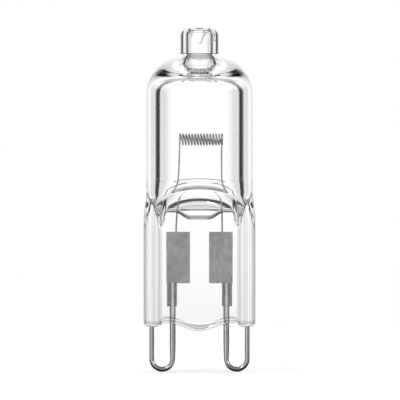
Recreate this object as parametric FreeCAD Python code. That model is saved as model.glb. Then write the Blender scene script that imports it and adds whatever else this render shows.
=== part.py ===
import FreeCAD, Part
import math
import os

from FreeCAD import Vector

# Halogen capsule lamp with a two-loop press-seal base, in millimetres.
# Z runs up to the exhaust tip and X across the width of the press seal.
# Z = 0 is the seating plane, at the foot of the seal's two side rails.

# Quartz tube, its dome and the taper at its lower end
body_diameter = 12.9
body_wall = 1.5
dome_base_z = 28.4
dome_height = 5.15
dome_shoulder = 3.0
ceiling_z = 29.8
ceiling_corner = 1.6
taper_z = 16.2  # the tube tapers below here, into the seal
taper_angle = 20.0
taper_foot_z = 9.0
cavity_taper_z = 14.7
cavity_taper_angle = 17.0

# Exhaust tip
tip_diameter = 4.7
tip_top_z = 36.1
tip_edge_radius = 1.0
bore_diameter = 2.6
bore_top_wall = 0.45
bore_lip = 0.7
bore_corner = 0.5
chord_steps = 3  # straight steps that stand for a small rounded edge

# Press seal: a flat panel between two thick side rails
seal_width = 13.5
panel_thickness = 3.1
rail_thickness = 4.6
rail_round = 1.25
rail_slope = 1.0  # from the rail's crest in to the flat panel
rail_side_z = 14.3  # the rails have straight sides up to here
rail_top_z = 16.4  # and lean into the tube above
rail_lean = 0.6

# Shoulder that the press jaws leave above the panel, round an arched jaw edge
jaw_radius = 6.9
jaw_z = 12.9  # top of the arched jaw edge
shoulder_radius = 1.6
shoulder_angle = 65.0
shoulder_rise = 0.15  # how far the shoulder's round ends outside the tube
wedge_z = 13.3  # highest point of the sharp edge that closes the cavity
wedge_angle = 50.0

# Foot of the seal: a lobe under the middle, a notch at each lead and a flat end on each rail
lobe_drop = 0.48
notch_z = 0.48
notch = 4.0  # half the distance between the notches
rail_foot = 5.2  # half the distance between the inner ends of the rails' feet
foot_corner = 0.6

# Contact loops
loop_pitch = 9.0
loop_width = 2.52  # between the centres of a loop's two legs
loop_drop = 5.4
lead_diameter = 0.72
tail_diameter = 0.61
lead_taper = 1.0
tail_seat = 0.35
weld_flat = 0.035

# Sealing foils and weld strips
foil_width = 2.85
foil_length = 6.2
foil_thickness = 0.04
foil_edge = 0.4  # width of the thinned border
foil_edge_thickness = 0.014
foil_inner_edge = 1.15
foil_bottom_z = 5.3
weld_overlap = 0.65
strip_width = 1.22
strip_offset = 0.09  # the strip's middle lies this far outside the lead
strip_bottom_z = 2.5
strip_thickness = 0.04

# Filament: a coil lying along X, with a leg at each end
coil_z = 22.65
coil_diameter = 1.31  # through the middle of the wire
coil_left = -2.36
coil_right = 2.72
coil_turns = 14
filament_wire = 0.2
wire_sides = 4
leg_bend = 0.2
leg_corner = 0.17
leg_knee_z = 19.9
left_knee_x = -2.45
left_foot_x = -2.82
right_knee_x = 2.68
right_foot_x = 2.74
leg_weld = 0.8
leg_flat = 0.02
leg_run = 0.4  # straight stretch of a leg above its foil
leg_sweep = 3.0  # radius of a leg's gentle bends

body_radius = body_diameter / 2
cavity_radius = body_radius - body_wall
tip_radius = tip_diameter / 2
bore_radius = bore_diameter / 2
seal_half = seal_width / 2
panel_half = panel_thickness / 2
rail_half = rail_thickness / 2
lead_radius = lead_diameter / 2
tail_radius = tail_diameter / 2
wire_radius = filament_wire / 2
coil_radius = coil_diameter / 2
coil_lead = (coil_right - coil_left) / coil_turns
foil_top_z = foil_bottom_z + foil_length
lead_top_z = foil_bottom_z + weld_overlap
foil_back_y = weld_flat - lead_radius
jaw_centre_z = jaw_z - jaw_radius
up = Vector(0, 0, 1)
across = Vector(1, 0, 0)
depth = Vector(0, 1, 0)
axis_foot = Vector(0, 0, 0)


# Outlines in the XZ plane

def at(x, z):
    return Vector(x, 0, z)


def line(start, end):
    return Part.LineSegment(start, end).toShape()


def round_arc(centre, radius, first_angle, turn):
    angles = [math.radians(first_angle + turn * share) for share in (0, 0.5, 1)]
    points = [centre + at(radius * math.cos(a), radius * math.sin(a)) for a in angles]
    return Part.Arc(*points).toShape()


def chords(centre, radius, first_angle, turn):
    angles = [math.radians(first_angle + turn * step / chord_steps) for step in range(chord_steps + 1)]
    points = [centre + at(radius * math.cos(a), radius * math.sin(a)) for a in angles]
    return [line(start, end) for start, end in zip(points, points[1:])]


def face_of(edges):
    return Part.Face(Part.Wire(Part.sortEdges(edges)[0]))


def turned(edges):
    return face_of(edges).revolve(axis_foot, up, 360)


# Quartz envelope

def dome_arcs():
    # A shoulder arc and a crown arc that meet in line, and the crown's height over the tip's side
    shoulder_x = body_radius - dome_shoulder
    crown = (shoulder_x**2 + dome_height**2 - dome_shoulder**2) / (2 * (dome_height - dome_shoulder))
    crown_centre = at(0, dome_base_z + dome_height - crown)
    meeting = math.degrees(math.atan2(crown - dome_height, shoulder_x))
    last = math.degrees(math.acos(tip_radius / crown))
    shoulder = round_arc(at(shoulder_x, dome_base_z), dome_shoulder, 0, meeting)
    return [shoulder, round_arc(crown_centre, crown, meeting, last - meeting)]


def tapered(radius, start_z, angle, foot_z):
    return at(radius - (start_z - foot_z) * math.tan(math.radians(angle)), foot_z)


def tube_outline():
    dome = dome_arcs()
    tip_foot = dome[-1].valueAt(dome[-1].LastParameter)
    edge_centre = at(tip_radius - tip_edge_radius, tip_top_z - tip_edge_radius)
    taper_top = at(body_radius, taper_z)
    taper_foot = tapered(body_radius, taper_z, taper_angle, taper_foot_z)
    return [
        line(at(0, taper_foot_z), at(0, tip_top_z)),
        line(at(0, tip_top_z), edge_centre + at(0, tip_edge_radius)),
        *chords(edge_centre, tip_edge_radius, 0, 90),
        line(edge_centre + at(tip_edge_radius, 0), tip_foot),
        *dome,
        line(at(body_radius, dome_base_z), taper_top),
        line(taper_top, taper_foot),
        line(taper_foot, at(0, taper_foot_z)),
    ]


def cavity_outline():
    bore_top = tip_top_z - bore_top_wall
    bore_centre = at(bore_radius - bore_corner, bore_top - bore_corner)
    lip_top = at(bore_radius, ceiling_z + bore_lip)
    lip_foot = at(bore_radius + bore_lip, ceiling_z)
    corner_centre = at(cavity_radius - ceiling_corner, ceiling_z - ceiling_corner)
    taper_top = at(cavity_radius, cavity_taper_z)
    taper_foot = tapered(cavity_radius, cavity_taper_z, cavity_taper_angle, taper_foot_z)
    return [
        line(at(0, taper_foot_z), at(0, bore_top)),
        line(at(0, bore_top), bore_centre + at(0, bore_corner)),
        *chords(bore_centre, bore_corner, 0, 90),
        line(bore_centre + at(bore_corner, 0), lip_top),
        line(lip_top, lip_foot),
        line(lip_foot, corner_centre + at(0, ceiling_corner)),
        *chords(corner_centre, ceiling_corner, 0, 90),
        line(corner_centre + at(ceiling_corner, 0), taper_top),
        line(taper_top, taper_foot),
        line(taper_foot, at(0, taper_foot_z)),
    ]


def spool(edges):
    # An outline of distance from the jaws' centre against depth, turned about that centre and mirrored
    half = face_of(edges).revolve(axis_foot, up, 360)
    half.rotate(axis_foot, across, 90)
    half.translate(at(0, jaw_centre_z))
    return half.fuse(half.mirror(axis_foot, depth)).removeSplitter()


def shoulder_spool():
    angle = math.radians(shoulder_angle)
    top = body_radius + shoulder_rise
    reach = shoulder_radius * math.sin(angle)
    rise = shoulder_radius * (1 - math.cos(angle))
    slope_rise = top - panel_half - 2 * rise
    slope_reach = slope_rise / math.tan(angle)
    start = at(jaw_radius, panel_half)
    slope_start = start + at(reach, rise)
    slope_end = slope_start + at(slope_reach, slope_rise)
    end = slope_end + at(reach, rise)
    rim = at(tip_top_z, top)
    return spool([
        line(at(0, 0), at(0, panel_half)),
        line(at(0, panel_half), start),
        round_arc(start + at(0, shoulder_radius), shoulder_radius, -90, shoulder_angle),
        line(slope_start, slope_end),
        round_arc(end - at(0, shoulder_radius), shoulder_radius, 90, shoulder_angle),
        line(end, rim),
        line(rim, at(tip_top_z, 0)),
        line(at(tip_top_z, 0), at(0, 0)),
    ])


def wedge_spool():
    angle = math.radians(wedge_angle)
    top = cavity_radius + shoulder_rise
    reach = shoulder_radius * math.sin(angle)
    rise = shoulder_radius * (1 - math.cos(angle))
    start = at(wedge_z - jaw_centre_z, 0)
    slope_end = start + at((top - rise) / math.tan(angle), top - rise)
    end = slope_end + at(reach, rise)
    rim = at(tip_top_z, top)
    return spool([
        line(start, slope_end),
        round_arc(end - at(0, shoulder_radius), shoulder_radius, 90, wedge_angle),
        line(end, rim),
        line(rim, at(tip_top_z, 0)),
        line(at(tip_top_z, 0), start),
    ])


def s_curve(start, end):
    # Two equal arcs that leave start and reach end along X
    width = end.x - start.x
    height = end.z - start.z
    radius = (width**2 + height**2) / (4 * abs(height))
    turn = math.degrees(2 * math.atan2(abs(height), abs(width)))
    middle = (start + end) * 0.5
    sign_x = math.copysign(1, width)
    sign_z = math.copysign(1, height)
    lean = math.radians(turn / 2)
    first = start + at(sign_x * radius * math.sin(lean), sign_z * radius * (1 - math.cos(lean)))
    second = end - at(sign_x * radius * math.sin(lean), sign_z * radius * (1 - math.cos(lean)))
    return [Part.Arc(start, first, middle).toShape(), Part.Arc(middle, second, end).toShape()]


def both_sides(edges, normal):
    return edges + [edge.mirror(axis_foot, normal) for edge in edges]


def seal_section():
    crest = seal_half - rail_round
    side_end = rail_half - rail_round
    quarter = [line(at(0, panel_half), at(crest - rail_slope, panel_half))]
    quarter += s_curve(at(crest - rail_slope, panel_half), at(crest, rail_half))
    quarter.append(round_arc(at(crest, side_end), rail_round, 0, 90))
    quarter.append(line(at(seal_half, 0), at(seal_half, side_end)))
    section = face_of(both_sides(both_sides(quarter, across), up))
    section.rotate(axis_foot, across, 90)
    return section


def seal_front():
    side = at(seal_half, foot_corner)
    half = [line(at(0, rail_top_z), at(seal_half - rail_lean, rail_top_z))]
    half.append(line(at(seal_half - rail_lean, rail_top_z), at(seal_half, rail_side_z)))
    half.append(line(at(seal_half, rail_side_z), side))
    half.append(round_arc(side - at(foot_corner, 0), foot_corner, -90, 90))
    half.append(line(at(seal_half - foot_corner, 0), at(rail_foot, 0)))
    half += s_curve(at(notch, notch_z), at(rail_foot, 0))
    half += s_curve(at(0, -lobe_drop), at(notch, notch_z))
    return face_of(both_sides(half, across))


def make_seal():
    bar = seal_section().extrude(up * (rail_top_z + 2 * lobe_drop))
    bar.translate(at(0, -2 * lobe_drop))
    front = seal_front().extrude(depth * rail_thickness)
    front.translate(depth * -rail_half)
    return bar.common(front)


def make_envelope(inserts):
    body = turned(tube_outline()).common(shoulder_spool())
    cavity = turned(cavity_outline()).common(wedge_spool())
    return body.fuse(make_seal()).cut(cavity).cut(inserts)


# Metal pieces

def box(low, high):
    size = high - low
    return Part.makeBox(size.x, size.y, size.z, low)


def rounded_path(points, radii):
    edges = []
    start = points[0]
    for before, corner, after, radius in zip(points, points[1:], points[2:], radii):
        arriving = (corner - before).normalize()
        leaving = (after - corner).normalize()
        turn = arriving.getAngle(leaving)
        reach = radius * math.tan(turn / 2)
        inward = (leaving - arriving).normalize()
        middle = corner + inward * (radius / math.cos(turn / 2) - radius)
        edges.append(line(start, corner - arriving * reach))
        edges.append(Part.Arc(corner - arriving * reach, middle, corner + leaving * reach).toShape())
        start = corner + leaving * reach
    edges.append(line(start, points[-1]))
    return edges


def coil_path():
    # Each turn runs down the back aslant and comes up the front upright
    slant = Vector(coil_lead / 2, math.hypot(coil_radius, coil_lead / 2), 0)
    edges = []
    for turn in range(coil_turns):
        top = at(coil_left + coil_lead * turn, coil_z + coil_radius)
        foot = top + at(coil_lead, -coil_diameter)
        behind = top + slant - at(0, coil_radius)
        front = foot + at(0, coil_radius) - depth * coil_radius
        edges.append(Part.Arc(top, behind, foot).toShape())
        edges.append(Part.Arc(foot, front, foot + at(0, coil_diameter)).toShape())
    return edges


def leg_points(coil_end, knee_x, foot_x, side):
    top = at(coil_end, coil_z + coil_radius)
    corner = top + depth * (side * leg_bend)
    knee = Vector(knee_x, corner.y, leg_knee_z)
    seat = Vector(foot_x, foil_back_y + wire_radius - leg_flat, foil_top_z + leg_run)
    foot = Vector(foot_x, seat.y, foil_top_z - leg_weld)
    return [foot, seat, knee, corner, top]


def make_filament():
    left = leg_points(coil_left, left_knee_x, left_foot_x, -1)
    right = leg_points(coil_right, right_knee_x, right_foot_x, 1)
    bends = [leg_sweep, leg_sweep, leg_corner]
    edges = rounded_path(left, bends) + coil_path() + rounded_path(right[::-1], bends[::-1])
    steps = [2 * math.pi * step / wire_sides for step in range(wire_sides)]
    ring = [left[0] + Vector(math.cos(a), math.sin(a), 0) * wire_radius for a in steps]
    section = Part.makePolygon(ring + ring[:1])
    filament = Part.Wire(edges).makePipeShell([section], True, False)
    flats = []
    for foot in (left[0], right[0]):
        low = foot - Vector(filament_wire, filament_wire, 0)
        flats.append(box(low, Vector(foot.x + filament_wire, foil_back_y, foil_top_z)))
    return filament.cut(flats)


def make_foil(side):
    inner = foil_inner_edge
    outer = foil_inner_edge + foil_width
    middle_y = foil_back_y - foil_thickness / 2
    thick = foil_thickness / 2
    thin = foil_edge_thickness / 2
    outline = [
        (inner, thin), (inner + foil_edge, thick), (outer - foil_edge, thick), (outer, thin),
        (outer, -thin), (outer - foil_edge, -thick), (inner + foil_edge, -thick), (inner, -thin),
    ]
    points = [Vector(side * x, middle_y + y, foil_bottom_z) for x, y in outline]
    face = Part.Face(Part.makePolygon(points + points[:1]))
    return face.extrude(up * foil_length)


def make_strip(side):
    middle = side * (loop_pitch / 2 - loop_width / 2 + strip_offset)
    low = Vector(middle - strip_width / 2, -foil_back_y, strip_bottom_z)
    high = Vector(middle + strip_width / 2, -foil_back_y + strip_thickness, lead_top_z)
    return box(low, high)


def make_loop(side):
    middle = side * loop_pitch / 2
    bend = loop_width / 2
    bend_z = -loop_drop + tail_radius + bend
    lead_foot = at(middle - side * bend, bend_z)
    tail_foot = at(middle + side * bend, bend_z)
    lead_start = lead_foot + at(0, lead_taper)
    lead = Part.makeCylinder(lead_radius, lead_top_z - lead_start.z, lead_start, up)
    taper = Part.makeCone(tail_radius, lead_radius, lead_taper, lead_foot, up)
    tail = Part.makeCylinder(tail_radius, tail_seat - bend_z, tail_foot, up)
    ring = Part.Face(Part.Wire([Part.makeCircle(tail_radius, tail_foot, up)]))
    turn = ring.revolve(at(middle, bend_z), depth * side, 180)
    loop = turn.fuse([taper, lead, tail]).removeSplitter()
    reach = Vector(lead_radius, 0, 0)
    front = box(at(lead_foot.x, foil_bottom_z) - reach + Vector(0, -lead_radius, 0),
                Vector(lead_foot.x + lead_radius, foil_back_y, lead_top_z))
    back = box(at(lead_foot.x, strip_bottom_z) - reach + Vector(0, -foil_back_y, 0),
               Vector(lead_foot.x + lead_radius, lead_radius, lead_top_z))
    return loop.cut([front, back])


os.makedirs("parts", exist_ok=True)
filament = make_filament()
nodes = {"filament": filament}
for name, side in (("left", -1), ("right", 1)):
    nodes["foil_" + name] = make_foil(side)
    nodes["weld_strip_" + name] = make_strip(side)
    nodes["contact_loop_" + name] = make_loop(side)
leg_feet = filament.common(box(Vector(-body_radius, -body_radius, 0), Vector(body_radius, body_radius, leg_knee_z)))
inserts = [leg_feet] + [shape for name, shape in nodes.items() if name != "filament"]
nodes["quartz_envelope"] = make_envelope(inserts)
for name, shape in nodes.items():
    shape.exportStep(f"parts/{name}.step")
    print(name, shape.isValid(), len(shape.Solids), round(shape.Volume, 3))
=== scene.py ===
import math

import bpy
import numpy as np
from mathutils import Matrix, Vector


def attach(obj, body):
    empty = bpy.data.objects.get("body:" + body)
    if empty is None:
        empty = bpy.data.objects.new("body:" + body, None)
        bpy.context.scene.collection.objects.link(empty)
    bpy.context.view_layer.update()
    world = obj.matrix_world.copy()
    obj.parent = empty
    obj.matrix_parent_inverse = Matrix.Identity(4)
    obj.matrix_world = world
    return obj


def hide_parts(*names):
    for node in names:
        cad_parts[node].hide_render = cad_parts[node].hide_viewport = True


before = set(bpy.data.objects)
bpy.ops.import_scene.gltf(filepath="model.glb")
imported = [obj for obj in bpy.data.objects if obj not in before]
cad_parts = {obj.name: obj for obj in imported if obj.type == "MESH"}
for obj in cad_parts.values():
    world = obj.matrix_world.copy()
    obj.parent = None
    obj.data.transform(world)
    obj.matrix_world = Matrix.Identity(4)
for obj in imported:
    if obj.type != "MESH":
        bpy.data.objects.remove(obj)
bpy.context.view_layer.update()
mm = 0.001
tiny = 1e-6
print("stage: frame loaded")


# Node helpers

class Value:  # a socket with arithmetic
    def __init__(self, tree, socket):
        self.tree = tree
        self.socket = socket

    def add(self, kind, inputs=(), output=0, **settings):  # any other node
        node = self.tree.nodes.new(kind)
        for name, setting in settings.items():
            setattr(node, name, setting)
        pairs = inputs.items() if isinstance(inputs, dict) else enumerate(inputs)
        for key, value in pairs:
            if isinstance(value, Value):
                self.tree.links.new(value.socket, node.inputs[key])
            else:
                node.inputs[key].default_value = value
        return Value(self.tree, node.outputs[output])

    def maths(self, operation, *others):
        return self.add("ShaderNodeMath", (self, *others), operation=operation)

    def __add__(self, other):
        return self.maths("ADD", other)

    __radd__ = __add__

    def __sub__(self, other):
        return self.maths("SUBTRACT", other)

    def __rsub__(self, other):
        return self * -1 + other

    def __mul__(self, other):
        return self.maths("MULTIPLY", other)

    __rmul__ = __mul__

    def __truediv__(self, other):
        return self.maths("DIVIDE", other)

    def __rtruediv__(self, other):
        return self.maths("POWER", -1) * other

    def __abs__(self):
        return self.maths("ABSOLUTE")

    def axis(self, name):
        return self.add("ShaderNodeSeparateXYZ", (self,), output="XYZ".index(name))

    def ramp(self, low, high, first=0.0, last=1.0):  # smooth step between two values
        return self.add("ShaderNodeMapRange", {0: self, 1: low, 2: high, 3: first, 4: last},
                        interpolation_type="SMOOTHSTEP")

    def scaled(self, x, y, z):
        return self.add("ShaderNodeVectorMath", (self, (x, y, z)), operation="MULTIPLY")

    def noise(self, scale, detail=3.0, rough=0.55):
        sockets = {"Vector": self, "Scale": scale, "Detail": detail, "Roughness": rough}
        return self.add("ShaderNodeTexNoise", sockets)

    def between(self, first, last):  # this value picks between two colours
        colours = {0: self, 6: (*first, 1), 7: (*last, 1)}
        return self.add("ShaderNodeMix", colours, output=2, data_type="RGBA")


def newMaterial(name):
    material = bpy.data.materials.new(name)
    material.use_nodes = True
    tree = material.node_tree
    shader = tree.nodes["Principled BSDF"]
    spot = Value(tree, tree.nodes.new("ShaderNodeTexCoord").outputs["Object"])
    return material, shader, spot


def feed(shader, name, value):
    value.tree.links.new(value.socket, shader.inputs[name])


def bump(height, strength, distance):
    return height.add("ShaderNodeBump", {"Strength": strength, "Distance": distance, "Height": height})


# Metals: streaks along the draw over a slow change of tone

metals = {
    "tungsten_wire": {"dark": (0.2, 0.198, 0.194), "light": (0.4, 0.397, 0.39),
                      "rough": 0.24, "scale": 7000.0, "pull": 1.0, "depth": 0.008},
    "contact_wire": {"dark": (0.5, 0.495, 0.47), "light": (0.68, 0.67, 0.64),
                     "rough": 0.13, "scale": 9000.0, "pull": 0.02, "depth": 0.006},
    "molybdenum_foil": {"dark": (0.27, 0.27, 0.267), "light": (0.47, 0.47, 0.465),
                        "rough": 0.45, "scale": 3000.0, "pull": 0.35, "depth": 0.01},
    "weld_strip": {"dark": (0.25, 0.248, 0.242), "light": (0.4, 0.396, 0.387),
                   "rough": 0.4, "scale": 3600.0, "pull": 0.1, "depth": 0.01},
}
grain = {"streak": 0.45, "stain": 0.55, "stainScale": 0.12, "contrast": (0.3, 0.7), "smoother": 0.04,
         "rougher": 0.05, "bump": 0.12}


def metalMaterial(name):
    look = metals[name]
    material, shader, spot = newMaterial(name)
    shader.inputs["Metallic"].default_value = 1.0
    streak = spot.scaled(1, 1, look["pull"]).noise(look["scale"])
    stain = spot.noise(look["scale"] * grain["stainScale"])
    tone = streak * grain["streak"] + stain * grain["stain"]
    feed(shader, "Base Color", tone.ramp(*grain["contrast"]).between(look["dark"], look["light"]))
    rough = (look["rough"] - grain["smoother"], look["rough"] + grain["rougher"])
    feed(shader, "Roughness", stain.ramp(*grain["contrast"], *rough))
    feed(shader, "Normal", bump(streak, grain["bump"], look["depth"] * mm))
    return material


tungsten, nickel, molybdenum, stripMetal = (metalMaterial(name) for name in metals)


# Clear quartz with painted shade: greyer below the press jaws and towards the bottom, with painted dark
# lines at the foot and down the rails; a ramp is: from, to in millimetres, value at each end

foot = {"lobe": (0.15, 3.85), "notch": (4.1, 5.1), "rise": 0.48}  # wavy lower edge of the seal
quartzLook = {
    "ior": 1.458,
    "sealShade": (0.0, 8.0, 0.93, 1.0), "jawShade": (11.5, 14.0, 0.95, 1.0), "footShade": (0.5, 0.8, 0.72, 1.0),
    "jawShadeLineZ": 0.7, "jawShadeLine": (0.04, 0.14, 0.55, 1.0),
    "railSide": (6.4, 6.6, 0.0, 0.62), "railEdge": (6.0, 6.4, 0.0, 0.15),
    "railShadeLineX": 5.4, "railShadeLine": (0.04, 0.2, 0.42, 0.0), "railTop": (14.5, 16.0, 1.0, 0.0),
    "drawScale": 420.0, "drawPull": 0.06, "drawShare": 0.25,
    "pressScale": 260.0, "pressTop": (9.0, 14.0, 1.0, 0.0), "detail": 2.0, "bump": 0.25, "depth": 0.06,
}


def quartzMaterial():
    look = quartzLook
    material, shader, spot = newMaterial("clear_quartz")
    shader.inputs["Transmission Weight"].default_value = 1.0
    shader.inputs["IOR"].default_value = look["ior"]
    shader.inputs["Roughness"].default_value = 0.0
    across = abs(spot.axis("X")) / mm
    up = spot.axis("Z") / mm
    rise = foot["rise"]
    above = up - (across.ramp(*foot["lobe"], -rise, rise) - across.ramp(*foot["notch"], 0.0, rise))
    # painted shade: the glass is greyer below the press jaws, darker towards the bottom, and in a band at
    # the foot
    tone = up.ramp(*look["sealShade"]) * up.ramp(*look["jawShade"]) * above.ramp(*look["footShade"])
    tone = tone * abs(above - look["jawShadeLineZ"]).ramp(*look["jawShadeLine"])  # painted shade: a dark line where the press jaws end, near the foot
    railShade = across.ramp(*look["railSide"]) + across.ramp(*look["railEdge"])  # painted shade: dark outlines along the sides of the rails
    # painted shade: a grey line down each rail
    railShade = railShade + abs(across - look["railShadeLineX"]).ramp(*look["railShadeLine"])
    feed(shader, "Base Color", tone * (1 - railShade * up.ramp(*look["railTop"])))
    draw = spot.scaled(1, 1, look["drawPull"]).noise(look["drawScale"], look["detail"])  # along the tube
    press = spot.noise(look["pressScale"], look["detail"])  # soft hollows that the press jaws leave
    height = draw * look["drawShare"] + press * up.ramp(*look["pressTop"])
    feed(shader, "Normal", bump(height, look["bump"], look["depth"] * mm))
    return material


quartz = quartzMaterial()
print("stage: materials")


# Meshes

def meshObject(name, vertices, faces, material):
    mesh = bpy.data.meshes.new(name)
    mesh.from_pydata([tuple(v) for v in vertices], [], faces)
    mesh.polygons.foreach_set("use_smooth", [True] * len(mesh.polygons))
    mesh.materials.append(material)
    mesh.update()
    piece = bpy.data.objects.new(name, mesh)
    bpy.context.scene.collection.objects.link(piece)
    return piece


def setPiece(piece, slot, *nodes):
    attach(piece, "root")
    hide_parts(*nodes)


def smooth(value, low, high):
    share = np.clip((value - low) / (high - low), 0, 1)
    return share * share * (3 - 2 * share)


def softMax(first, second, width):
    return 0.5 * (first + second + np.sqrt((first - second) ** 2 + width * width))


def softMin(first, second, width):
    return 0.5 * (first + second - np.sqrt((first - second) ** 2 + width * width))


def arcPoints(centreX, centreZ, radius, first, last, count):
    angles = np.radians(np.linspace(first, last, count))
    return [(centreX + radius * math.cos(a), centreZ + radius * math.sin(a)) for a in angles]


def ringShares(count):  # across and depth round a ring, and 1 at the front, -1 at the back
    angles = np.radians(np.linspace(-90, 270, count, endpoint=False))
    depths = np.cos(angles)
    front = np.where(np.abs(depths) < tiny, 0, np.sign(depths))
    return np.sin(angles), depths, front


def roundRing(radius, z, sides, depths):
    return np.stack([radius * sides, -radius * depths, np.full_like(sides, z)], axis=1)


def bag(rows):  # closed skin over rows of rings, each an (n, 3) array
    count = len(rows[0])
    faces = []
    for level in range(len(rows) - 1):
        base = level * count
        for step in range(count):
            after = (step + 1) % count
            faces.append((base + step, base + after, base + count + after, base + count + step))
    for base, turn in ((0, -1), ((len(rows) - 1) * count, 1)):
        for step in range(count // 2):  # joins each front point with the back point behind it
            behind = [base + (count - step - 1) % count, base + (count - step) % count]
            corners = dict.fromkeys([base + step, base + step + 1, *behind])
            faces.append(tuple(corners)[::turn])
    return np.concatenate(rows), faces


# Quartz envelope, outer skin: tip, dome and tube are round, and press jaws flatten what is below

glass = {
    "columns": 192, "radius": 6.45, "domeZ": 28.14, "domeHeight": 5.16, "domePower": 2.02,
    "tipRadius": 2.35, "tipZ": 36.1, "tipEdge": 0.99, "tipRoot": 0.08, "rootZ": 31.5,
    "tipSteps": 6, "edgeSteps": 16,
    "bowlZ": 16.22, "bowlAngle": 19.8, "bowlSoft": 0.6, "bowlLeast": 0.01,
    "sealHalf": 6.77, "panel": 1.55, "rail": 2.2, "railRound": 0.95, "railLine": 5.2, "railSlope": 1.62,
    "railSideZ": 13.05, "railTopZ": 16.63, "railLean": 0.36, "railFade": 1.76,
    "jawZ": 13.97, "jawDrop": 0.008, "jawFlat": 4.04, "jawFall": 6.94,
    "shoulderRadius": 0.45, "shoulderAngle": 64.8, "shoulderSoft": 0.05, "shoulderSteps": 24,
    "slopeRun": 8.0, "crease": 0.05,
    "footEdge": 0.5, "footDraw": 0.6, "footMark": 0.2, "footMarkZ": 0.8, "footMarkSoft": 0.2,
    "footCorner": 0.6, "footReach": 3.0,
}
glassRows = {  # from, to, count
    "tip": (34.9, 33.8, 8), "root": (33.7, 32.6, 36), "dome": (32.5, 28.4, 44), "tube": (28, 17, 20),
    "shoulder": (16.9, 9.0, 110), "seal": (8.6, 1.0, 18),
    "foot": (1, 0, 30), "footTop": 0.9, "footBunch": 1.6,
}


def jawLine(x):  # where the pressed panel begins: an arch that falls steeply at the sides
    across = np.abs(x)
    fall = glass["jawFall"] * np.maximum(across - glass["jawFlat"], 0) ** 2
    return glass["jawZ"] - glass["jawDrop"] * across ** 2 - fall


def shoulderSlope(height):  # panel depth, then the round and the straight slope that the press jaws leave
    angle = math.radians(glass["shoulderAngle"])
    turns = np.linspace(0, angle, glass["shoulderSteps"])
    run = glass["slopeRun"]
    reach = [glass["shoulderRadius"] * math.sin(t) for t in turns]
    depth = [glass["panel"] + glass["shoulderRadius"] * (1 - math.cos(t)) for t in turns]
    return np.interp(height, reach + [reach[-1] + run], depth + [depth[-1] + run * math.tan(angle)])


def sealDepth(x, lean):  # flat panel that rises to a rail with a round side
    across = np.abs(x) + lean
    reach = glass["railSlope"] / 2
    share = smooth(across, glass["railLine"] - reach, glass["railLine"] + reach)
    edge = np.clip((across - glass["sealHalf"]) / glass["railRound"] + 1, 0, 1)
    return (glass["panel"] + share * (glass["rail"] - glass["panel"])) * np.sqrt(1 - edge * edge)


def footLine(x):  # lobe in the middle, notch at each lead, flat rail feet
    across = np.abs(x)
    rise = foot["rise"]
    return 2 * rise * smooth(across, *foot["lobe"]) - rise - rise * smooth(across, *foot["notch"])


def bowlRadius(z):  # the tube narrows to a cone, with a soft start
    half = glass["bowlSoft"] / 2
    below = half * np.clip((glass["bowlZ"] + half - z) / (2 * half), 0, 1) ** 2
    below = below + np.maximum(glass["bowlZ"] - half - z, 0)
    return max(glass["radius"] - below * math.tan(math.radians(glass["bowlAngle"])), glass["bowlLeast"])


def outerOutline():  # the round part, from the tip down
    tip = glass["tipRadius"] - glass["tipEdge"]
    steps = glass["tipSteps"]
    outline = [(tip * step / steps, glass["tipZ"]) for step in range(1, steps)]
    outline += arcPoints(tip, glass["tipZ"] - glass["tipEdge"], glass["tipEdge"], 90, 0, glass["edgeSteps"])
    for z in np.concatenate([np.linspace(*glassRows[part]) for part in ("tip", "root", "dome")]):
        height = min((z - glass["domeZ"]) / glass["domeHeight"], 1)
        radius = glass["radius"] * (1 - height ** glass["domePower"]) ** (1 / glass["domePower"])
        if z > glass["rootZ"]:
            radius = softMax(glass["tipRadius"], radius, glass["tipRoot"])
        outline.append((radius, z))
    return outline + [(glass["radius"], z) for z in np.linspace(*glassRows["tube"])]


def sealRing(z, sides, front):
    bowl = bowlRadius(z)
    lean = glass["railLean"] * smooth(z, glass["railSideZ"], glass["railTopZ"])
    corner = max(0, glass["footCorner"] - z)
    lean += glass["footCorner"] - math.sqrt(glass["footCorner"] ** 2 - corner ** 2)
    hasSeal = z < glass["railTopZ"]
    x = sides * (max(bowl, glass["sealHalf"] - lean) if hasSeal else bowl)
    body = np.sqrt(np.maximum(bowl * bowl - x * x, 0))
    depth = softMin(body, shoulderSlope(z - jawLine(x)), glass["shoulderSoft"])
    if hasSeal:
        fade = smooth(glass["railTopZ"] - z, 0, glass["railFade"])
        depth = softMax(depth, sealDepth(x, lean) * fade, glass["crease"] * fade)
    depth = depth - glass["footMark"] * smooth(glass["footMarkZ"] - z, 0, glass["footMarkSoft"])
    edge = max(0, 1 - z / glass["footEdge"])
    depth = depth * (1 - glass["footDraw"] * (1 - math.sqrt(1 - edge * edge)))
    fall = max(0, 1 - z / glass["footReach"]) ** 2
    return np.stack([x, -front * np.maximum(depth, 0), z + footLine(x) * fall], axis=1)


def outerRows():
    sides, depths, front = ringShares(glass["columns"])
    rows = [roundRing(radius, z, sides, depths) for radius, z in outerOutline()]
    footRows = glassRows["footTop"] * np.linspace(*glassRows["foot"]) ** glassRows["footBunch"]
    for levels in (np.linspace(*glassRows["shoulder"]), np.linspace(*glassRows["seal"]), footRows):
        rows += [sealRing(z, sides, front) for z in levels]
    return rows


# Quartz envelope, cavity: bore in the tip, ceiling, tube and a wedge that the jaws pressed shut

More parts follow.
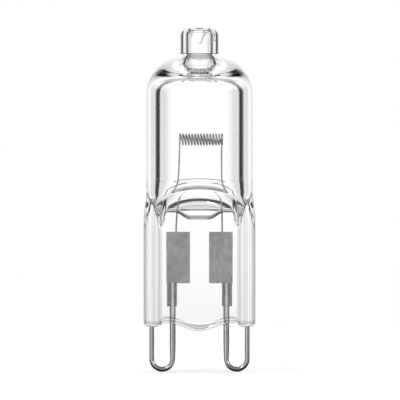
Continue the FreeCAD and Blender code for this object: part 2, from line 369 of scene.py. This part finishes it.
cavity = {
    "columns": 128, "radius": 4.85, "ceilingZ": 30.0, "corner": 1.8, "bore": 1.34, "boreTopZ": 35.6,
    "boreCorner": 0.45, "lip": 1.47, "taperZ": 13.0, "taperHeight": 5.16,
    "wedgeTopZ": 17.5, "wedgeZ": 12.98, "wedgeAngle": 61.5, "wedgeSoft": 0.81, "softRun": 0.25,
    "tongueHalf": 1.15, "tongueSlope": 1.84, "tongueRise": 0.85,
    "slot": 0.62, "slotZ": 14.56, "slotCorner": 0.1, "close": 0.68,
    "edgeX": 4.8,  # where the wedge edge runs out at the side wall
}
cavityRowCounts = {
    "boreTop": 5, "boreCorner": 12, "bore": 14, "lip": 14, "ceiling": 10, "corner": 20,
    "tube": (27.8, 17.6, 20), "wedge": 64, "wedgeBunch": 1.5,
}


def tongueLine(x):  # foot of the cavity: a tongue between the legs, higher at the sides
    side = smooth(np.abs(x), cavity["tongueHalf"], cavity["tongueHalf"] + cavity["tongueSlope"])
    return cavity["wedgeZ"] + cavity["tongueRise"] * side


def cavityRadius(z):
    below = np.clip((cavity["taperZ"] - z) / cavity["taperHeight"], 0, 1)
    return cavity["radius"] * np.sqrt(1 - below * below)


def cavityOutline():  # the round part, from the top of the bore down
    radius, bore, lip, corner = (cavity[name] for name in ("radius", "bore", "lip", "corner"))
    end = cavity["boreCorner"]
    endZ = cavity["boreTopZ"] - end
    ceilingZ = cavity["ceilingZ"]
    counts = cavityRowCounts
    top = counts["boreTop"]
    outline = [((bore - end) * step / top, cavity["boreTopZ"]) for step in range(1, top)]
    outline += arcPoints(bore - end, endZ, end, 90, 0, counts["boreCorner"])
    outline += [(bore, z) for z in np.linspace(endZ, ceilingZ + lip, counts["bore"])[1:-1]]
    outline += arcPoints(bore + lip, ceilingZ + lip, lip, 180, 270, counts["lip"])
    outline += [(x, ceilingZ) for x in np.linspace(bore + lip, radius - corner, counts["ceiling"])[1:-1]]
    outline += arcPoints(radius - corner, ceilingZ - corner, corner, 90, 0, counts["corner"])
    return outline + [(radius, z) for z in np.linspace(*counts["tube"])]


def cavityRows():
    sides, depths, front = ringShares(cavity["columns"])
    rows = [roundRing(radius, z, sides, depths) for radius, z in cavityOutline()]
    edgeZ = tongueLine(cavity["edgeX"] * sides)
    slope = math.tan(math.radians(cavity["wedgeAngle"]))
    for share in np.linspace(1, 0, cavityRowCounts["wedge"]) ** cavityRowCounts["wedgeBunch"]:
        z = edgeZ + (cavity["wedgeTopZ"] - edgeZ) * share
        radius = cavityRadius(z)
        rise = np.maximum(z - cavity["slotZ"], 0) * slope
        wedge = cavity["slot"] + np.hypot(rise, cavity["slotCorner"]) - cavity["slotCorner"]
        soft = cavity["wedgeSoft"] * min(1, share / cavity["softRun"])
        depth = softMin(radius * np.abs(depths), wedge, soft)
        closing = np.clip(1 - (z - edgeZ) / cavity["close"], 0, 1)
        depth = np.maximum(depth * np.sqrt(1 - closing * closing), 0)
        rows.append(np.stack([radius * sides, -front * depth, z], axis=1))
    return rows


# Wires: one tree sweeps a round wire along a path of edges

def wireTree():
    tree = bpy.data.node_groups.new("round_wire", "GeometryNodeTree")
    sockets = tree.interface
    sockets.new_socket("Path", in_out="INPUT", socket_type="NodeSocketGeometry")
    for name in ("Start Radius", "End Radius", "Change From", "Change To"):
        sockets.new_socket(name, in_out="INPUT", socket_type="NodeSocketFloat")
    sockets.new_socket("Sides", in_out="INPUT", socket_type="NodeSocketInt")
    sockets.new_socket("Metal", in_out="INPUT", socket_type="NodeSocketMaterial")
    sockets.new_socket("Wire", in_out="OUTPUT", socket_type="NodeSocketGeometry")
    entry = tree.nodes.new("NodeGroupInput")
    given = {socket.name: Value(tree, socket) for socket in entry.outputs if socket.name}
    path = given["Path"].add("GeometryNodeMeshToCurve", (given["Path"],))
    along = path.add("GeometryNodeSplineParameter", output="Factor")
    share = along.ramp(given["Change From"], given["Change To"])
    radius = given["Start Radius"] + (given["End Radius"] - given["Start Radius"]) * share
    ring = path.add("GeometryNodeCurvePrimitiveCircle", {"Resolution": given["Sides"], "Radius": 1.0})
    skin = path.add("GeometryNodeCurveToMesh",
                    {"Curve": path, "Profile Curve": ring, "Scale": radius, "Fill Caps": True})
    shaded = path.add("GeometryNodeSetShadeSmooth", {"Geometry": skin, "Shade Smooth": True})
    real = path.add("GeometryNodeRealizeInstances", (shaded,))
    done = path.add("GeometryNodeSetMaterial", {"Geometry": real, "Material": given["Metal"]})
    leave = tree.nodes.new("NodeGroupOutput")
    tree.links.new(done.socket, leave.inputs[0])
    return tree


roundWire = wireTree()


def sweepWire(name, points, metal, sides, radii, change):  # change: shares of the path, from and to
    mesh = bpy.data.meshes.new(name + "_path")
    edges = [(i, i + 1) for i in range(len(points) - 1)]
    mesh.from_pydata([tuple(np.array(p) * mm) for p in points], edges, [])
    path = bpy.data.objects.new(name + "_path", mesh)
    bpy.context.scene.collection.objects.link(path)
    modifier = path.modifiers.new("wire", "NODES")
    modifier.node_group = roundWire
    values = {"Start Radius": radii[0] * mm, "End Radius": radii[1] * mm, "Change From": change[0],
              "Change To": change[1], "Sides": sides, "Metal": metal}
    for item in roundWire.interface.items_tree:
        if item.in_out == "INPUT" and item.name in values:
            modifier[item.identifier] = values[item.name]
    bpy.context.view_layer.update()
    swept = path.evaluated_get(bpy.context.evaluated_depsgraph_get())
    result = bpy.data.meshes.new_from_object(swept)
    path.modifiers.clear()
    bpy.data.objects.remove(path)
    piece = bpy.data.objects.new(name, result)
    bpy.context.scene.collection.objects.link(piece)
    return piece


def bendPath(points, radii, steps):  # straight runs with round corners
    points = [np.array(p, float) for p in points]
    path = [points[0]]
    for before, corner, after, radius in zip(points, points[1:], points[2:], radii):
        arriving = (corner - before) / np.linalg.norm(corner - before)
        leaving = (after - corner) / np.linalg.norm(after - corner)
        turn = math.acos(float(np.clip(arriving @ leaving, -1, 1)))
        if turn < tiny:
            continue
        start = corner - arriving * radius * math.tan(turn / 2)
        normal = leaving - arriving * float(arriving @ leaving)
        normal /= np.linalg.norm(normal)
        for angle in np.linspace(0, turn, steps):
            along = arriving * radius * math.sin(angle)
            path.append(start + along + normal * radius * (1 - math.cos(angle)))
    return path + [points[-1]]


def halfTurn(centre, first, second, steps):  # from the first way through the second
    centre, first, second = (np.array(way, float) for way in (centre, first, second))
    return [centre + first * math.cos(a) + second * math.sin(a) for a in np.linspace(0, math.pi, steps)[1:]]


# The glass in one mesh: outer skin, cavity and the fine seams left in the tip where the tube was melted shut

seams = {
    "radius": 0.12, "endRadius": 0.072, "thinning": (0.2, 0.9), "sides": 10,
    "depth": 1.88, "bend": 0.12, "bendSteps": 6,
    "paths": (
        ((-0.8, 35.66), (-1.08, 35.5), (-0.95, 35.3), (-0.72, 35.2), (-0.95, 35.0)),
        ((0.42, 35.55), (0.66, 35.36), (0.4, 35.02), (0.3, 34.66), (0.2, 34.3),
         (-0.02, 34.14), (-0.2, 34.28)),
        ((1.3, 35.5), (1.62, 35.22), (1.5, 34.8), (1.66, 34.5)),
    ),
}


def seamMesh(path):
    spots = [(x, -math.sqrt(seams["depth"] ** 2 - x * x), z) for x, z in path]  # round the bore
    points = bendPath(spots, [seams["bend"]] * (len(path) - 2), seams["bendSteps"])
    radii = (seams["radius"], seams["endRadius"])
    tube = sweepWire("tip_seam", points, quartz, seams["sides"], radii, seams["thinning"])
    vertices = np.array([vertex.co[:] for vertex in tube.data.vertices])
    faces = [tuple(face.vertices) for face in tube.data.polygons]
    bpy.data.objects.remove(tube)
    return vertices, faces


def buildGlass():
    outer, outerFaces = bag(outerRows())
    inner, innerFaces = bag(cavityRows())
    parts = [(outer * mm, [face[::-1] for face in outerFaces]), (inner * mm, innerFaces)]
    for path in seams["paths"]:
        points, loops = seamMesh(path)
        parts.append((points, [face[::-1] for face in loops]))  # an empty channel: its skin faces inward
    faces = []
    count = 0
    for points, loops in parts:
        faces += [tuple(v + count for v in face) for face in loops]
        count += len(points)
    vertices = np.concatenate([points for points, loops in parts])
    piece = meshObject("quartz_envelope_glass", vertices, faces, quartz)
    setPiece(piece, "quartz", "quartz_envelope")
    return piece


glassPiece = buildGlass()
print("stage: glass", len(glassPiece.data.polygons))


# Filament: two legs and a coil of half turns in one wire

filament = {
    "z": 22.65, "radius": 0.655, "left": -2.36, "right": 2.72, "turns": 14, "wire": 0.098, "sides": 12,
    "turnSteps": 16, "bend": 0.2, "corner": 0.17, "sweep": 3.0, "bendSteps": 8,
    "kneeZ": 19.9, "seatY": -0.245, "seatZ": 11.9, "footZ": 10.7,
    "leftKnee": -2.45, "leftFoot": -2.82, "rightKnee": 2.68, "rightFoot": 2.74,
}


def filamentLeg(side, end, knee, base):
    f = filament
    y = side * f["bend"]
    top = f["z"] + f["radius"]
    points = [(base, f["seatY"], f["footZ"]), (base, f["seatY"], f["seatZ"]), (knee, y, f["kneeZ"]),
              (end, y, top), (end, 0, top)]
    return bendPath(points, (f["sweep"], f["sweep"], f["corner"]), f["bendSteps"])


def filamentPath():
    f = filament
    pitch = (f["right"] - f["left"]) / f["turns"]
    half = pitch / 2
    reach = math.hypot(f["radius"], half)
    path = filamentLeg(-1, f["left"], f["leftKnee"], f["leftFoot"])
    for turn in range(f["turns"]):
        x = f["left"] + pitch * turn
        path += halfTurn((x + half, 0, f["z"]), (-half, 0, f["radius"]), (0, reach, 0), f["turnSteps"])
        path += halfTurn((x + pitch, 0, f["z"]), (0, 0, -f["radius"]), (0, -f["radius"], 0), f["turnSteps"])
    return path + filamentLeg(1, f["right"], f["rightKnee"], f["rightFoot"])[::-1][1:]


coilPiece = sweepWire("filament_coil", filamentPath(), tungsten, filament["sides"],
                      (filament["wire"], filament["wire"]), (0.0, 1.0))
setPiece(coilPiece, "tungsten", "filament")
print("stage: filament", len(coilPiece.data.polygons))


# Contact loops: a thicker lead and a thinner tail

loop = {
    "pitch": 9.0, "width": 2.52, "drop": 5.4, "lead": 0.365, "tail": 0.303, "taper": (0.45, 0.56),
    "leadTop": 5.95, "tailTop": 0.35, "sides": 32, "leadSteps": 24, "bendSteps": 40, "tailSteps": 12,
}


def buildLoop(name, side):
    half = loop["width"] / 2
    middle = side * loop["pitch"] / 2
    bendZ = -loop["drop"] + loop["tail"] + half
    lead = middle - side * half
    tail = middle + side * half
    path = [(lead, 0, z) for z in np.linspace(loop["leadTop"], bendZ, loop["leadSteps"])]
    path += halfTurn((middle, 0, bendZ), (-side * half, 0, 0), (0, 0, -half), loop["bendSteps"])
    path += [(tail, 0, z) for z in np.linspace(bendZ, loop["tailTop"], loop["tailSteps"])[1:]]
    radii = (loop["lead"], loop["tail"])
    piece = sweepWire("contact_wire_" + name, path, nickel, loop["sides"], radii, loop["taper"])
    setPiece(piece, "contact_wire", "contact_loop_" + name)


for name, side in (("left", -1), ("right", 1)):
    buildLoop(name, side)
    for node, metal in (("foil_", molybdenum), ("weld_strip_", stripMetal)):  # these keep their CAD shape
        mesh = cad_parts[node + name].data
        mesh.materials.clear()
        mesh.materials.append(metal)
print("stage: wires and foils")


# Studio: pale floor, soft light and the photo's view
# The glass shows bright and dark panels by bearing from the back, in degrees: from, to, level at each end

studio = {
    "mirroredBack": (38.5, 51.0, 1.06, 0.02), "mirroredFront": (95.0, 130.0, 0.0, 0.36),
    "softboxAt": -134.0, "softbox": (10.0, 22.0, 0.8, 0.0),
    "back": (8.0, 22.0, 1.06, 0.8), "gap": (35.5, 48.0, 1.0, 0.02),
    "wing": (59.9, 65.3, 0.0, 0.62), "open": (96.0, 122.0, 0.0, 0.35),
    "high": (29.7, 43.4, 1.0, 0.38), "lift": (8.0, 25.0, 0.0, 0.25), "sky": 1.12,
}
floor = {
    "z": -5.42, "half": 260.0, "rough": 0.9, "grain": 40.0, "pale": (0.3, 0.7, 0.93, 0.95),
    "under": (17.7, 140.0, 0.67, 0.0), "front": (-0.4, 0.2, 0.25, 1.0),
}
lamps = {
    "key": {"spot": (-150, -260, 220), "aim": (0, 0, 12), "size": 90, "power": 0.22},
    "fill": {"spot": (230, -200, 90), "aim": (0, 0, 10), "size": 90, "power": 0.12},
}
view = {"x": 0.06, "z": 15.34, "distance": 700.0, "width": 48.32, "sensor": 36.0, "clip": 10.0}
degrees = 180 / math.pi


def surround(way, through):  # level of what is seen through the glass or mirrored in the wires
    turn = way.axis("X").maths("ARCTAN2", way.axis("Y")) * degrees
    bearing = abs(turn)
    mirrored = bearing.ramp(*studio["mirroredBack"]) + bearing.ramp(*studio["mirroredFront"])
    mirrored = mirrored + abs(turn - studio["softboxAt"]).ramp(*studio["softbox"])
    passed = bearing.ramp(*studio["back"]) * bearing.ramp(*studio["gap"])
    passed = passed + bearing.ramp(*studio["wing"]) + bearing.ramp(*studio["open"])
    return through * passed + (1 - through) * mirrored


def rays(tree, *names):
    path = tree.nodes.new("ShaderNodeLightPath")
    return [Value(tree, path.outputs[name]) for name in names]


def buildFloor():
    half = floor["half"] * mm
    z = floor["z"] * mm
    corners = [(-half, -half, z), (half, -half, z), (half, half, z), (-half, half, z)]
    material, shader, spot = newMaterial("pale_floor")
    shader.inputs["Roughness"].default_value = floor["rough"]
    camera, through = rays(shader.id_data, "Is Camera Ray", "Is Transmission Ray")
    away = spot.add("ShaderNodeVectorMath", (spot.scaled(1, 1, 0),), output=1, operation="LENGTH")
    behind = (spot.axis("Y") / away).ramp(*floor["front"])  # the painted shade is lighter at the front of the floor
    # painted reflection and shade: mirrored and through-glass rays see the floor in bright and dark panels
    # by bearing, and dark near the object; the camera sees it evenly pale
    under = through * behind * (away / mm).ramp(*floor["under"])
    shade = surround(spot, through).maths("MINIMUM", 1.0) * (1 - under)
    shade = camera + (1 - camera) * shade
    feed(shader, "Base Color", spot.noise(floor["grain"]).ramp(*floor["pale"]) * shade)
    meshObject("floor", corners, [(0, 1, 2, 3)], material)


def buildWorld():
    world = bpy.data.worlds.new("studio")
    bpy.context.scene.world = world
    world.use_nodes = True
    tree = world.node_tree
    camera, glossy, through = rays(tree, "Is Camera Ray", "Is Glossy Ray", "Is Transmission Ray")
    way = Value(tree, tree.nodes.new("ShaderNodeTexCoord").outputs["Generated"])
    height = abs(way.axis("Z").maths("ARCSINE")) * degrees
    panel = surround(way, through) * height.ramp(*studio["high"])
    panel = panel + through * height.ramp(*studio["lift"])
    seen = through.maths("MAXIMUM", glossy)
    level = camera + (1 - camera) * (seen * panel + (1 - seen) * studio["sky"])
    feed(tree.nodes["Background"], "Color", level)


def buildLamp(name):
    lamp = lamps[name]
    data = bpy.data.lights.new(name, "AREA")
    data.size = lamp["size"] * mm
    data.energy = lamp["power"]
    piece = bpy.data.objects.new(name, data)
    piece.location = Vector(lamp["spot"]) * mm
    piece.rotation_euler = (Vector(lamp["aim"]) - Vector(lamp["spot"])).to_track_quat("-Z", "Y").to_euler()
    bpy.context.scene.collection.objects.link(piece)


def buildCamera():
    data = bpy.data.cameras.new("view")
    data.sensor_width = view["sensor"]
    data.lens = view["sensor"] * view["distance"] / view["width"]
    data.clip_start = view["clip"] * mm
    camera = bpy.data.objects.new("view", data)
    camera.location = (view["x"] * mm, -view["distance"] * mm, view["z"] * mm)
    camera.rotation_euler = (math.pi / 2, 0, 0)
    bpy.context.scene.collection.objects.link(camera)
    bpy.context.scene.camera = camera


buildFloor()
buildWorld()
for name in lamps:
    buildLamp(name)
buildCamera()
bpy.context.scene.view_settings.view_transform = "Standard"
print("stage: studio")
